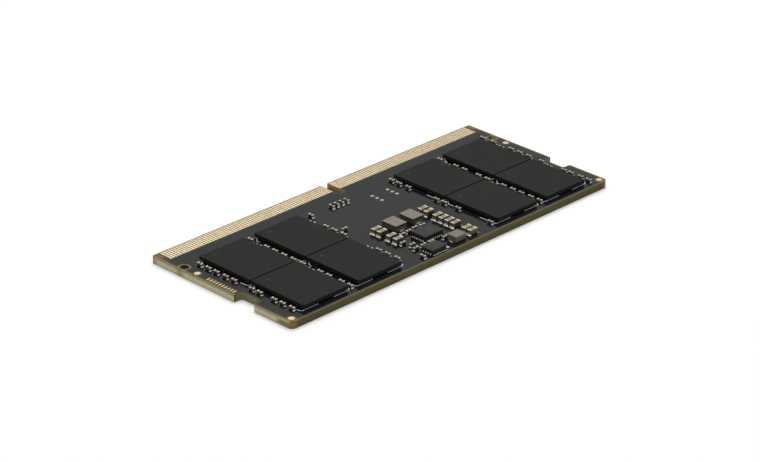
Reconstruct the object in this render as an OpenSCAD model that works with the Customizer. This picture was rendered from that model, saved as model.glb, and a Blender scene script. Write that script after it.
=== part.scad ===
// Small-outline memory module with eight packages on its upper side.
// It lies on its back. The contact edge faces -Y and the packages face +Z.
// The origin is at the middle of the board's lower face.

/* [Board] */
// Length of the board along its contact edge
board_l = 69.6; // [68.6:0.1:72]
// Depth of the board, from the contact edge to the far edge
board_d = 30; // [29.5:0.1:34]
// Thickness of the board
board_t = 1.2; // [0.8:0.05:1.6]
// Radius of the two corners on the far edge
far_corner_r = 0.8; // [0.3:0.1:1.2]
// Radius of the two corners on the contact edge
near_corner_r = 0.3; // [0.1:0.05:0.6]
// Thickness of the solder mask and of the gold plated copper
coat_t = 0.035; // [0.02:0.005:0.06]
// Bare rim between the solder mask and the cut edges
rim_w = 0.3; // [0.2:0.05:0.5]

/* [Latch notches] */
// Distance from the contact edge to the start of a latch notch
latch_start = 18; // [17:0.1:19]
// Length of a latch notch along the short end
latch_w = 4; // [3.6:0.1:4.8]
// Depth of a latch notch
latch_depth = 1.5; // [1.2:0.1:1.8]
// Radius of the inner corners of a latch notch
latch_r = 0.5; // [0.2:0.05:0.7]
// Radius of the outer corners of a latch notch
latch_mouth_r = 0.35; // [0.1:0.05:0.6]

/* [Key notch] */
// Place of the key notch along the contact edge
key_x = -1.25; // [-2:0.05:0]
// Width of the key notch
key_w = 1.4; // [1.2:0.05:1.6]
// Depth of the key notch
key_depth = 4; // [3.6:0.1:4.4]

/* [Contacts] */
// Distance from one contact to the next
contact_pitch = 0.5; // [0.45:0.01:0.6]
// Width of a contact
contact_w = 0.35; // [0.25:0.01:0.4]
// Length of a contact
contact_l = 2.6; // [2.2:0.05:2.65]
// Gap between a contact and the board's edge
contact_setback = 0.15; // [0.1:0.05:0.2]
// Distance between the two contacts that face each other across the key notch
contact_key_gap = 2; // [1.98:0.01:2.4]
// Distance from the board's end to the middle of the last contact
contact_end = 1.55; // [1.3:0.05:2]
// Distance from the contact edge to the solder mask
mask_start = 2.95; // [2.9:0.05:3.2]

/* [Tooling holes and gold marks] */
// Diameter of a tooling hole
hole_d = 1.4; // [1:0.05:1.6]
// Distance from the board's end to the middle of a tooling hole
hole_inset = 0.95; // [0.9:0.05:1.4]
// Distance from the contact edge to a tooling hole
hole_start = 6.15; // [5.5:0.05:7]
// Diameter of an alignment disc
disc_d = 1; // [0.8:0.05:1.4]
// Width of the bare ring round a hole or a disc
ring_w = 0.36; // [0.2:0.02:0.5]
// Distance from the board's end to an alignment disc
disc_inset = 0.92; // [0.85:0.01:1.2]
// Distance from the far edge to the two outer discs
disc_far = 1.02; // [0.9:0.02:1.3]
// Distance from the contact edge to the two inner discs
disc_start = 9.05; // [8.6:0.05:9.4]
// Diameter of a test pad
pad_d = 0.6; // [0.4:0.05:0.8]
// Distance from one test pad to the next
pad_pitch = 1.05; // [0.9:0.05:1.3]
// Side of a spare solder pad, where no part is fitted
spare_pad_w = 0.4; // [0.3:0.05:0.45]
// Distance between the two spare pads of a pair
spare_pad_pitch = 0.85; // [0.8:0.05:0.95]
// Length of a gold bar on the bare strip
bar_l = 0.7; // [0.4:0.05:0.8]
// Width of a gold bar
bar_w = 0.28; // [0.15:0.01:0.4]
// Distance from one gold bar to the next
bar_pitch = 0.62; // [0.5:0.01:0.7]

/* [Printed lines] */
// Width of the printed lines
line_w = 0.13; // [0.1:0.01:0.2]
// Thickness of the printed lines
line_t = 0.015; // [0.01:0.005:0.03]
// Distance from a package's side to the middle of the printed line beside it
bracket_gap = 0.55; // [0.5:0.01:0.58]
// Length of a printed corner's arm along the front or rear of a package
bracket_arm = 3.5; // [2:0.1:4.2]
// Length of its arm along the side of a package
bracket_side_arm = 0.85; // [0.7:0.05:1]
// Length of that arm at the front of the near row
bracket_long_arm = 1.5; // [0.8:0.05:1.55]
// Length of the side arm next to the capacitors of the -X group
bracket_tall_arm = 3.3; // [2.5:0.1:3.8]
// Radius of a printed corner
bracket_r = 0.5; // [0.3:0.05:0.6]
// Side of the cut corner that marks the first ball
bracket_cut = 1.1; // [0.8:0.05:1.3]
// Length of the side arm beside the cut corner
bracket_stub = 0.5; // [0.2:0.05:0.6]
// Length of that arm next to the capacitors of the -X group
bracket_tall_stub = 1.15; // [0.8:0.05:1.4]

/* [DRAM packages] */
// Width of a package
chip_w = 9; // [8:0.1:9.6]
// Depth of a package
chip_d = 11; // [10:0.1:11.4]
// Thickness of the moulded body
mould_t = 0.37; // [0.3:0.01:0.7]
// Thickness of the package's substrate
substrate_t = 0.2; // [0.12:0.01:0.3]
// Height of a solder ball
ball_h = 0.24; // [0.18:0.01:0.35]
// Diameter of a solder ball
ball_d = 0.42; // [0.3:0.01:0.5]
// Distance from one solder ball to the next
ball_pitch = 0.8; // [0.7:0.01:0.82]
// Least distance from a package's front or rear to a solder ball
ball_end_room = 0.35; // [0.3:0.05:0.45]
// Least distance from a package's side to a solder ball
ball_side_room = 0.9; // [0.7:0.05:1.05]
// Gap between the board's end and the nearest package
chip_end_gap = 3.9; // [3.7:0.05:4.1]
// Gap between two packages side by side
chip_side_gap = 2.25; // [2.2:0.05:2.4]
// Gap between two packages one behind the other
chip_row_gap = 0.25; // [0.15:0.05:0.6]
// Gap between the far edge and the nearest package
chip_far_gap = 1.55; // [1.3:0.05:1.8]
// Radius of the round dimple that marks the first ball's corner
dimple_r = 0.36; // [0.2:0.02:0.5]
// Depth of that dimple
dimple_t = 0.03; // [0.01:0.005:0.08]
// Distance from a package's side to the middle of the dimple
dimple_side = 2; // [1:0.05:3]
// Distance from a package's rear to the middle of the dimple
dimple_rear = 1.25; // [0.8:0.05:2]

/* [Power section] */
// Width of the power controller
controller_w = 4; // [3.8:0.1:4.2]
// Depth of the power controller
controller_d = 3; // [2.7:0.1:3.2]
// Height of the power controller
controller_h = 0.85; // [0.6:0.05:1.1]
// Distance between the power controller's pads
controller_pitch = 0.44; // [0.4:0.01:0.45]
// Width of the hub chip
hub_w = 3.05; // [2.8:0.05:3.2]
// Depth of the hub chip
hub_d = 2.3; // [2.1:0.05:2.5]
// Height of the hub chip
hub_h = 0.75; // [0.5:0.05:1]
// Distance between the hub chip's pads
hub_pitch = 0.5; // [0.44:0.01:0.54]
// Height of the gap under a leadless chip, filled by its pads
pad_gap = 0.05; // [0.03:0.01:0.1]
// Width of a leadless chip's pad
lead_w = 0.2; // [0.16:0.01:0.22]
// Length of such a pad under the chip
lead_l = 0.3; // [0.2:0.01:0.32]
// Distance from the edge of a leadless chip to its centre pad
centre_inset = 0.65; // [0.5:0.05:0.8]
// Reach of the solder outside a leadless chip's pad
toe_reach = 0.14; // [0.08:0.01:0.2]
// Height of that solder
toe_rise = 0.25; // [0.15:0.01:0.35]
// Width of a large inductor
inductor_w = 2.5; // [2.2:0.05:2.6]
// Length of a large inductor
inductor_l = 3.2; // [3:0.05:3.4]
// Length of the small inductor
small_inductor_l = 2.5; // [2.3:0.05:2.6]
// Width of the small inductor
small_inductor_w = 1.9; // [1.7:0.05:2]
// Height of the inductors
inductor_h = 1; // [0.7:0.05:1.2]
// Radius of an inductor's upright edges
inductor_r = 0.15; // [0.08:0.01:0.25]
// Distance from an inductor's side to its end tab
tab_inset = 0.35; // [0.25:0.05:0.5]
// Thickness of an inductor's end tab
tab_t = 0.08; // [0.05:0.01:0.12]
// Height of an inductor's end tab
tab_h = 0.4; // [0.3:0.05:0.6]
// Length of the foot under an inductor's end
foot_l = 0.55; // [0.4:0.05:0.7]

/* [Capacitors and resistors] */
// Length of a large capacitor
large_l = 1.65; // [1.5:0.05:1.75]
// Width of a large capacitor
large_w = 0.9; // [0.75:0.05:1]
// Height of a large capacitor
large_h = 0.85; // [0.7:0.05:1]
// Length of a small capacitor
small_l = 1; // [0.9:0.05:1.1]
// Width of a small capacitor
small_w = 0.52; // [0.45:0.01:0.6]
// Height of a small capacitor
small_h = 0.5; // [0.4:0.02:0.6]
// Height of a resistor
resistor_h = 0.46; // [0.4:0.01:0.5]
// Thickness of the dark coat on a resistor
resistor_coat_t = 0.03; // [0.02:0.01:0.05]
// Distance from one resistor to the next
resistor_pitch = 1.05; // [0.9:0.05:1.2]
// Length of a large capacitor's metal end
large_cup_l = 0.3; // [0.2:0.02:0.4]
// Length of the metal end of a small capacitor or resistor
small_cup_l = 0.2; // [0.14:0.01:0.26]
// Wall of a metal terminal
terminal_t = 0.03; // [0.02:0.005:0.04]
// Reach of the solder at the end of a large capacitor
large_fillet_reach = 0.35; // [0.2:0.01:0.4]
// Reach of the solder at the end of a small capacitor or resistor
small_fillet_reach = 0.16; // [0.1:0.01:0.2]
// Reach of the solder at the end of an inductor
inductor_fillet_reach = 0.2; // [0.12:0.01:0.24]
// Height of the solder as a share of the terminal's height
fillet_share = 0.4; // [0.3:0.05:0.9]

/* [Hidden] */
$fn = 48;

// How far a cut runs past the face that it opens
past = 0.1;
// Radius that stands for a sharp corner
sharp_r = 0.05;
// Angle between two points of the solder's hollow side
hollow_step = 30;

// Colours
laminate_colour = [0.47, 0.45, 0.34];
mask_colour = [0.16, 0.17, 0.18];
gold_colour = [0.88, 0.76, 0.5];
print_colour = [0.9, 0.9, 0.88];
mould_colour = [0.12, 0.12, 0.12];
substrate_colour = [0.16, 0.17, 0.15];
tin_colour = [0.78, 0.78, 0.76];
inductor_colour = [0.45, 0.42, 0.39];
ceramic_colour = [0.55, 0.42, 0.3];
resistor_colour = [0.85, 0.85, 0.82];

// Edges of the board
end_x = board_l / 2;
far_y = board_d / 2;
contact_y = -board_d / 2;

// Contacts. The long group lies between the key notch and the +X end
contact_start_y = contact_y + contact_setback;
long_first_x = key_x + contact_key_gap / 2;
long_count = floor((end_x - contact_end - long_first_x) / contact_pitch + 0.01) + 1;
short_first_x = key_x - contact_key_gap / 2;
short_count = floor((end_x - contact_end + short_first_x) / contact_pitch + 0.01) + 1;

// Packages: four columns along X, two rows along Y
outer_column_x = end_x - chip_end_gap - chip_w / 2;
inner_column_x = outer_column_x - chip_w - chip_side_gap;
column_x = [outer_column_x, inner_column_x, -inner_column_x, -outer_column_x];
far_row_y = far_y - chip_far_gap - chip_d / 2;
near_row_y = far_row_y - chip_d - chip_row_gap;
row_y = [far_row_y, near_row_y];
substrate_z = board_t + ball_h;
mould_z = substrate_z + substrate_t;
ball_rows = floor((chip_d - 2 * ball_end_room - ball_d) / ball_pitch) + 1;
ball_columns = floor((chip_w - 2 * ball_side_room - ball_d) / ball_pitch) + 1;
ball_free_columns = 3;

// Printed corners: inset of their lines from a package's front and rear, and room beside them
bracket_inset = 0.02;
print_room = 0.17;

// Columns of small capacitors beside the packages
right_middle_shift = 0.15;
right_inner_gap = 1.1;
left_inner_gap = 1;
left_middle_shift = 0.1;
left_edge_gap = 1.25;
right_edge_x = outer_column_x + chip_w / 2 + bracket_gap + line_w / 2 + print_room + small_w / 2;
right_middle_x = (outer_column_x + inner_column_x) / 2 + right_middle_shift;
right_inner_x = inner_column_x - chip_w / 2 - right_inner_gap;
left_inner_x = -inner_column_x + chip_w / 2 + left_inner_gap;
left_middle_x = -(outer_column_x + inner_column_x) / 2 - left_middle_shift;
left_edge_x = -outer_column_x - chip_w / 2 - left_edge_gap;

// Places of the small capacitors in each column, from the far edge
right_edge_far = [2.9, 4.85, 6.6, 9.65, 11.3, 15.1, 16.9, 18.9, 20.65, 22.5];
right_middle_far = [2.05, 3.85, 6.5, 8.3, 12, 14, 16, 17.95, 19.75, 23.3];
right_inner_far = [3.5, 5.5, 7.3, 14.75, 16.8, 18.55];
left_inner_far = [2.25, 9, 11.95, 13.55, 19.7, 21.65, 23.3];
left_middle_far = [2.1, 3.9, 5.9, 7.7, 9.6, 13.1, 15, 18.05, 19.9, 23.4];
left_edge_far = [1.7, 3.4, 5.4, 6.85, 11.6, 14.35, 16.35, 18.15, 22, 24.35];
function along(x, fars) = [for (f = fars) [x, far_y - f, 90]];

// Small capacitors between the groups of packages: place along X, from the far edge, turn.
// The last two stay beside the column next to the +X group
lying_gap = 1.42;
standing_gap = 1.1;
power_small = [[4.65, 5.1, 0], [5.25, 6.5, 0], [6.3, 1.3, 90],
    [5.15, 3.9, 0], [3.5, 3.9, 0], [1.85, 3.8, 0], [-0.85, 3.5, 0],
    [-1.3, 8.75, 0], [0.15, 8.9, 0], [1.7, 8.7, 0], [3.2, 8.6, 0],
    [right_inner_x - lying_gap, 16.05, 0], [right_inner_x - standing_gap, 23, 90]];
small_places = concat(along(right_edge_x, right_edge_far), along(right_middle_x, right_middle_far),
    along(right_inner_x, right_inner_far), along(left_inner_x, left_inner_far),
    along(left_middle_x, left_middle_far), along(left_edge_x, left_edge_far),
    [for (p = power_small) [p[0], far_y - p[1], p[2]]]);

// Pairs of spare pads in those columns: place along X and of the pair's middle from the far edge
spare_shift = 0.1;
spare_pairs = [[right_inner_x, 9.4], [right_inner_x, 21.7], [right_middle_x, 10.38],
    [right_middle_x, 21.68], [left_middle_x, 11.7], [left_middle_x, 21.9],
    [left_edge_x, 10.15], [left_edge_x, 20.48]];
spare_places = [for (p = spare_pairs, side = [-0.5, 0.5])
    [p[0] - spare_shift, far_y - p[1] + side * spare_pad_pitch]];

// Large capacitors in the power section: two columns, places from the far edge
large_x = 5.15;
large_left_far = [1.85, 3, 5.35, 6.6, 7.85, 9.1, 11, 12.25];
large_right_far = [7.55, 9, 11, 12.2];
large_places = concat([for (f = large_left_far) [-large_x, far_y - f, 0]],
    [for (f = large_right_far) [large_x, far_y - f, 0]]);

// Resistors
resistor_x = 0.7;
resistor_far = 23.1;
resistor_y = far_y - resistor_far;
resistor_count = 4;
resistor_places = [for (i = [0 : resistor_count - 1])
    [resistor_x + i * resistor_pitch, resistor_y, 90]];

// Chips and inductors of the power section
controller_x = 0.27;
controller_far = 6.2;
controller_y = far_y - controller_far;
hub_x = 3.16;
hub_far = 2.03;
hub_y = far_y - hub_far;
inductor_1_x = -1.95;
inductor_2_x = 1.8;
inductor_far = 11.6;
inductor_y = far_y - inductor_far;
inductor_3_x = -1.95;
inductor_3_far = 2.15;
inductor_3_y = far_y - inductor_3_far;
controller_pads = 8;
controller_side_pads = 6;
hub_pads = 4;
hub_line_l = 3;
hub_line_gap = 0.12;
hub_dot_d = 0.55;
hub_dot_gap = 0.35;
hub_dot_far = 1.25;

// Gold test pads: two columns along Y
pad_far = 19.7;
pad_columns = [-7.15, -3.75];
pad_count = 3;
pad_opening = 0.05;

// Bare strip with gold bars at the +X end, below the latch notch
strip_w = 1.5;
strip_gap = 0.2;
strip_l = 6.9;
strip_top_y = contact_y + latch_start - strip_gap;
bar_count = 10;
bar_inset = 0.15;
bar_start = 0.5;

// Square corner with a round inside it, for cutting a convex corner
module corner_cut(r) {
    difference() {
        translate([-past, -past])
            square(r + past);
        translate([r, r])
            circle(r);
    }
}

// Board outline, moved in by e from every edge
module board_outline(e) {
    l = board_l - 2 * e;
    d = board_d - 2 * e;
    difference() {
        translate([-l / 2, -d / 2])
            square([l, d]);
        for (side = [0, 1])
            mirror([side, 0]) {
                translate([-l / 2, d / 2])
                    mirror([0, 1])
                        corner_cut(max(far_corner_r - e, sharp_r));
                translate([-l / 2, -d / 2])
                    corner_cut(max(near_corner_r - e, sharp_r));
                translate([-end_x, contact_y + latch_start])
                    latch_notch(e);
            }
        translate([key_x, contact_y])
            key_notch(e);
    }
}

// Latch notch with round inner corners and a rounded mouth, cut towards +X
module latch_notch(e) {
    w = latch_w + 2 * e;
    depth = latch_depth + e;
    r = latch_r + e;
    translate([0, -e]) {
        translate([-past, 0])
            square([depth + past - r, w]);
        translate([-past, r])
            square([depth + past, w - 2 * r]);
        for (y = [r, w - r])
            translate([depth - r, y])
                circle(r);
    }
    for (y = [-e, latch_w + e])
        translate([e, y])
            mirror([0, y < 0 ? 1 : 0])
                corner_cut(max(latch_mouth_r - e, sharp_r));
}

// Key notch with a full round end, cut towards +Y
module key_notch(e) {
    w = key_w + 2 * e;
    translate([-w / 2, -past])
        square([w, key_depth + e + past - w / 2]);
    translate([0, key_depth + e - w / 2])
        circle(w / 2);
}

// Area of the solder mask before its openings are cut
module coated_area() {
    difference() {
        board_outline(rim_w);
        translate([-end_x, contact_y])
            square([board_l, mask_start]);
    }
}

// Places of the tooling holes, the discs and the pads
hole_places = [for (side = [-1, 1]) [side * (end_x - hole_inset), contact_y + hole_start]];
disc_places = [for (side = [-1, 1], y = [far_y - disc_far, contact_y + disc_start])
    [side * (end_x - disc_inset), y]];
pad_places = [for (x = pad_columns, i = [0 : pad_count - 1]) [x, far_y - pad_far - i * pad_pitch]];

module rings(places, d) {
    for (p = places)
        translate(p)
            circle(d = d);
}

module squares(places, w) {
    for (p = places)
        translate(p)
            square(w, center = true);
}

// Rectangle round one group of contacts
module contact_field(first, count) {
    translate([first - contact_w / 2, contact_start_y])
        square([(count - 1) * contact_pitch + contact_w, contact_l]);
}

module both_contact_fields() {
    contact_field(long_first_x, long_count);
    contact_field(short_first_x - (short_count - 1) * contact_pitch, short_count);
}

// Laminate, thinned where the solder mask and the contacts lie
module circuit_board() {
    color(laminate_colour)
        difference() {
            linear_extrude(board_t)
                board_outline(0);
            for (z = [-past, board_t - coat_t])
                translate([0, 0, z])
                    linear_extrude(coat_t + past) {
                        coated_area();
                        both_contact_fields();
                    }
            for (p = hole_places)
                translate([p[0], p[1], -past])
                    cylinder(d = hole_d, h = board_t + 2 * past);
        }
}

module solder_mask_front() {
    color(mask_colour)
        translate([0, 0, board_t - coat_t])
            linear_extrude(coat_t)
                difference() {
                    coated_area();
                    rings(hole_places, hole_d + 2 * ring_w);
                    rings(disc_places, disc_d + 2 * ring_w);
                    rings(pad_places, pad_d + 2 * pad_opening);
                    squares(spare_places, spare_pad_w);
                    translate([end_x - strip_w, strip_top_y - strip_l])
                        square([strip_w, strip_l]);
                }
}

module solder_mask_back() {
    color(mask_colour)
        linear_extrude(coat_t)
            difference() {
                coated_area();
                rings(hole_places, hole_d + 2 * ring_w);
            }
}

// One row of contact fingers
module contacts(first, count, z) {
    color(gold_colour)
        for (i = [0 : count - 1])
            translate([first + i * contact_pitch - contact_w / 2, contact_start_y, z])
                cube([contact_w, contact_l, coat_t]);
}

module front_contacts_long() {
    contacts(long_first_x, long_count, board_t - coat_t);
}

module front_contacts_short() {
    contacts(short_first_x - (short_count - 1) * contact_pitch, short_count, board_t - coat_t);
}

module back_contacts_long() {
    contacts(long_first_x, long_count, 0);
}

module back_contacts_short() {
    contacts(short_first_x - (short_count - 1) * contact_pitch, short_count, 0);
}

module alignment_discs() {
    color(gold_colour)
        for (p = disc_places)
            translate([p[0], p[1], board_t - coat_t])
                cylinder(d = disc_d, h = coat_t);
}

module test_pads() {
    color(gold_colour)
        for (p = pad_places)
            translate([p[0], p[1], board_t - coat_t])
                cylinder(d = pad_d, h = coat_t);
}

module spare_pads() {
    color(tin_colour)
        translate([0, 0, board_t - coat_t])
            linear_extrude(coat_t)
                squares(spare_places, spare_pad_w);
}

// Plain gold bars on the bare strip
module edge_bars() {
    first_y = strip_top_y - bar_start - bar_w;
    color(gold_colour)
        for (i = [0 : bar_count - 1])
            translate([end_x - rim_w - bar_inset - bar_l, first_y - i * bar_pitch, board_t - coat_t])
                cube([bar_l, bar_w, coat_t]);
}

// Printed round corner at the origin, with arms towards -X and -Y
module round_bracket(side_arm) {
    translate([-bracket_arm, -line_w / 2, 0])
        cube([bracket_arm - bracket_r, line_w, line_t]);
    translate([-line_w / 2, -side_arm, 0])
        cube([line_w, side_arm - bracket_r, line_t]);
    translate([-bracket_r, -bracket_r, 0])
        rotate_extrude(angle = 90)
            translate([bracket_r - line_w / 2, 0])
                square([line_w, line_t]);
}

// The same with its corner cut off at 45 degrees and a short side arm left
module cut_bracket(stub) {
    translate([-bracket_arm, -line_w / 2, 0])
        cube([bracket_arm - bracket_cut, line_w, line_t]);
    translate([-line_w / 2, -bracket_cut - stub, 0])
        cube([line_w, stub, line_t]);
    translate([-bracket_cut, 0, 0])
        rotate(-45)
            translate([0, -line_w / 2, 0])
                cube([bracket_cut * sqrt(2), line_w, line_t]);
}

// The four printed corners of one package, with the cut one at +X and -Y
module package_brackets(right_arm, left_arm, stub) {
    line_x = chip_w / 2 + bracket_gap;
    line_y = chip_d / 2 - bracket_inset;
    translate([line_x, line_y, 0])
        round_bracket(right_arm);
    mirror([1, 0, 0])
        translate([line_x, line_y, 0])
            round_bracket(left_arm);
    mirror([0, 1, 0]) {
        translate([line_x, line_y, 0])
            cut_bracket(stub);
        mirror([1, 0, 0])
            translate([line_x, line_y, 0])
                round_bracket(bracket_side_arm);
    }
}

module printed_brackets() {
    color(print_colour)
        translate([0, 0, board_t]) {
            for (c = [0 : 3], r = [0, 1]) {
                arm = r == 0 ? bracket_side_arm : bracket_long_arm;
                tall = c == 2;
                translate([column_x[c], row_y[r], 0])
                    package_brackets(tall ? bracket_tall_arm : arm, arm,
                        tall ? bracket_tall_stub : bracket_stub);
            }
            translate([hub_x - hub_line_l / 2, hub_y + hub_d / 2 + hub_line_gap, 0])
                cube([hub_line_l, line_w, line_t]);
            translate([hub_x - hub_w / 2 - hub_dot_gap - hub_dot_d / 2, far_y - hub_dot_far, 0])
                cylinder(d = hub_dot_d, h = line_t);
        }
}

// Moulded body of one package, counted from 1, with its dimple
module dram_package(n) {
    x = column_x[(n - 1) % 4];
    y = row_y[n > 4 ? 1 : 0];
    color(mould_colour)
        translate([x, y, mould_z])
            difference() {
                translate([-chip_w / 2, -chip_d / 2, 0])
                    cube([chip_w, chip_d, mould_t]);
                translate([chip_w / 2 - dimple_side, dimple_rear - chip_d / 2, mould_t - dimple_t])
                    cylinder(r = dimple_r, h = dimple_t + past);
            }
}

module package_substrates() {
    color(substrate_colour)
        for (x = column_x, y = row_y)
            translate([x - chip_w / 2, y - chip_d / 2, substrate_z])
                cube([chip_w, chip_d, substrate_t]);
}

// Ball grid with its middle columns left free
module solder_balls() {
    middle_column = (ball_columns - 1) / 2;
    color(tin_colour)
        for (x = column_x, y = row_y, i = [0 : ball_columns - 1], j = [0 : ball_rows - 1])
            if (abs(i - middle_column) > ball_free_columns / 2)
                translate([x + (i - middle_column) * ball_pitch,
                        y + (j - (ball_rows - 1) / 2) * ball_pitch, board_t])
                    cylinder(d = ball_d, h = ball_h, $fn = 24);
}

// Moulded body of a leadless chip, standing on its pads
module leadless_body(w, d, h) {
    translate([-w / 2, -d / 2, pad_gap])
        cube([w, d, h - pad_gap]);
}

// Hollow wedge of solder towards +X, against a wall at the origin
module solder_wedge(w, reach, rise) {
    hollow = [for (a = [0 : hollow_step : 90]) [reach * (1 - sin(a)), rise * (1 - cos(a))]];
    translate([0, w / 2, 0])
        rotate([90, 0, 0])
            linear_extrude(w)
                polygon(concat([[0, 0]], hollow));
}

// Row of n pads along Y, under a leadless chip's edge at x, each with solder outside it
module pad_row(n, pitch, x) {
    for (i = [0 : n - 1])
        translate([x, (i - (n - 1) / 2) * pitch, 0]) {
            translate([-lead_l, -lead_w / 2, 0])
                cube([lead_l, lead_w, pad_gap]);
            solder_wedge(lead_w, toe_reach, toe_rise);
        }
}

// Pad under the middle of a leadless chip
module centre_pad(w, d) {
    pad_w = w - 2 * centre_inset;
    pad_l = d - 2 * centre_inset;
    translate([-pad_w / 2, -pad_l / 2, 0])
        cube([pad_w, pad_l, pad_gap]);
}

module power_controller() {
    color(mould_colour)
        translate([controller_x, controller_y, board_t])
            leadless_body(controller_w, controller_d, controller_h);
}

module power_controller_pads() {
    color(tin_colour)
        translate([controller_x, controller_y, board_t]) {
            for (turn = [0, 180])
                rotate(turn) {
                    pad_row(controller_side_pads, controller_pitch, controller_w / 2);
                    rotate(90)
                        pad_row(controller_pads, controller_pitch, controller_d / 2);
                }
            centre_pad(controller_w, controller_d);
        }
}

module hub_chip() {
    color(mould_colour)
        translate([hub_x, hub_y, board_t])
            leadless_body(hub_w, hub_d, hub_h);
}

module hub_chip_pads() {
    color(tin_colour)
        translate([hub_x, hub_y, board_t]) {
            for (turn = [0, 180])
                rotate(turn)
                    pad_row(hub_pads, hub_pitch, hub_w / 2);
            centre_pad(hub_w, hub_d);
        }
}

// Body of an inductor, long side along Y, between its two end tabs
module inductor_body(w, l) {
    body_l = l - 2 * tab_t;
    translate([0, 0, pad_gap])
        linear_extrude(inductor_h - pad_gap)
            difference() {
                translate([-w / 2, -body_l / 2])
                    square([w, body_l]);
                for (sx = [0, 1], sy = [0, 1])
                    mirror([sx, 0])
                        mirror([0, sy])
                            translate([-w / 2, -body_l / 2])
                                corner_cut(inductor_r);
            }
}

// Its two terminals: a tab up each end face and a foot under the body
module inductor_ends(w, l) {
    tab_w = w - 2 * tab_inset;
    for (side = [0, 1])
        mirror([0, side, 0])
            translate([-tab_w / 2, l / 2, 0]) {
                translate([0, -tab_t, 0])
                    cube([tab_w, tab_t, tab_h]);
                translate([0, -foot_l, 0])
                    cube([tab_w, foot_l, pad_gap]);
            }
}

module power_inductor_1() {
    color(inductor_colour)
        translate([inductor_1_x, inductor_y, board_t])
            inductor_body(inductor_w, inductor_l);
}

module power_inductor_2() {
    color(inductor_colour)
        translate([inductor_2_x, inductor_y, board_t])
            inductor_body(inductor_w, inductor_l);
}

module power_inductor_3() {
    color(inductor_colour)
        translate([inductor_3_x, inductor_3_y, board_t])
            rotate(90)
                inductor_body(small_inductor_w, small_inductor_l);
}

module inductor_terminals() {
    color(tin_colour)
        translate([0, 0, board_t]) {
            for (x = [inductor_1_x, inductor_2_x])
                translate([x, inductor_y, 0])
                    inductor_ends(inductor_w, inductor_l);
            translate([inductor_3_x, inductor_3_y, 0])
                rotate(90)
                    inductor_ends(small_inductor_w, small_inductor_l);
        }
}

// Ceramic block of a capacitor or resistor, long side along X, inside its terminals' walls
module block(l, w, h) {
    t = terminal_t;
    translate([-l / 2 + t, -w / 2 + t, t])
        cube([l - 2 * t, w - 2 * t, h - 2 * t]);
}

// Two metal end cups of length cup over such a block
module end_cups(l, w, h, cup) {
    for (side = [0, 1])
        mirror([side, 0, 0])
            difference() {
                translate([l / 2 - cup, -w / 2, 0])
                    cube([cup, w, h]);
                block(l, w, h);
            }
}

// Two hollow wedges of solder at the ends of a part of length l
module fillets(l, w, h, reach) {
    for (side = [0, 1])
        mirror([side, 0, 0])
            translate([l / 2, 0, 0])
                solder_wedge(w, reach, h * fillet_share);
}

// Children at each place of a list of [x, y, turn] on the board
module at_places(places) {
    for (p = places)
        translate([p[0], p[1], board_t])
            rotate(p[2])
                children();
}

module large_capacitor_bodies() {
    color(ceramic_colour)
        at_places(large_places)
            block(large_l, large_w, large_h);
}

module large_capacitor_terminals() {
    color(tin_colour)
        at_places(large_places)
            end_cups(large_l, large_w, large_h, large_cup_l);
}

module small_capacitor_bodies() {
    color(ceramic_colour)
        at_places(small_places)
            block(small_l, small_w, small_h);
}

module small_capacitor_terminals() {
    color(tin_colour)
        at_places(small_places)
            end_cups(small_l, small_w, small_h, small_cup_l);
}

module resistor_bodies() {
    color(resistor_colour)
        at_places(resistor_places)
            block(small_l, small_w, resistor_h);
}

// Dark coat on top of each resistor, between its terminals
module resistor_coats() {
    coat_l = small_l - 2 * small_cup_l;
    color(mould_colour)
        at_places(resistor_places)
            translate([-coat_l / 2, -small_w / 2 + terminal_t, resistor_h - terminal_t])
                cube([coat_l, small_w - 2 * terminal_t, resistor_coat_t]);
}

module resistor_terminals() {
    color(tin_colour)
        at_places(resistor_places)
            end_cups(small_l, small_w, resistor_h, small_cup_l);
}

// Solder outside the two end tabs of an inductor
module inductor_fillets(w, l) {
    rotate(90)
        fillets(l, w - 2 * tab_inset, tab_h, inductor_fillet_reach);
}

module solder_fillets() {
    color(tin_colour) {
        at_places(large_places)
            fillets(large_l, large_w, large_h, large_fillet_reach);
        at_places(small_places)
            fillets(small_l, small_w, small_h, small_fillet_reach);
        at_places(resistor_places)
            fillets(small_l, small_w, resistor_h, small_fillet_reach);
        at_places([[inductor_1_x, inductor_y, 0], [inductor_2_x, inductor_y, 0]])
            inductor_fillets(inductor_w, inductor_l);
        at_places([[inductor_3_x, inductor_3_y, 90]])
            inductor_fillets(small_inductor_w, small_inductor_l);
    }
}

circuit_board();
solder_mask_front();
solder_mask_back();
front_contacts_long();
front_contacts_short();
back_contacts_long();
back_contacts_short();
alignment_discs();
test_pads();
spare_pads();
edge_bars();
printed_brackets();
dram_package(1);  // dram_package_1
dram_package(2);  // dram_package_2
dram_package(3);  // dram_package_3
dram_package(4);  // dram_package_4
dram_package(5);  // dram_package_5
dram_package(6);  // dram_package_6
dram_package(7);  // dram_package_7
dram_package(8);  // dram_package_8
package_substrates();
solder_balls();
power_controller();
power_controller_pads();
hub_chip();
hub_chip_pads();
power_inductor_1();
power_inductor_2();
power_inductor_3();
inductor_terminals();
large_capacitor_bodies();
large_capacitor_terminals();
small_capacitor_bodies();
small_capacitor_terminals();
resistor_bodies();
resistor_coats();
resistor_terminals();
solder_fillets();
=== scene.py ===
"""Visual model of a small-outline memory module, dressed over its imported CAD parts."""

import bpy
import numpy as np
from mathutils import Matrix, Vector


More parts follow.
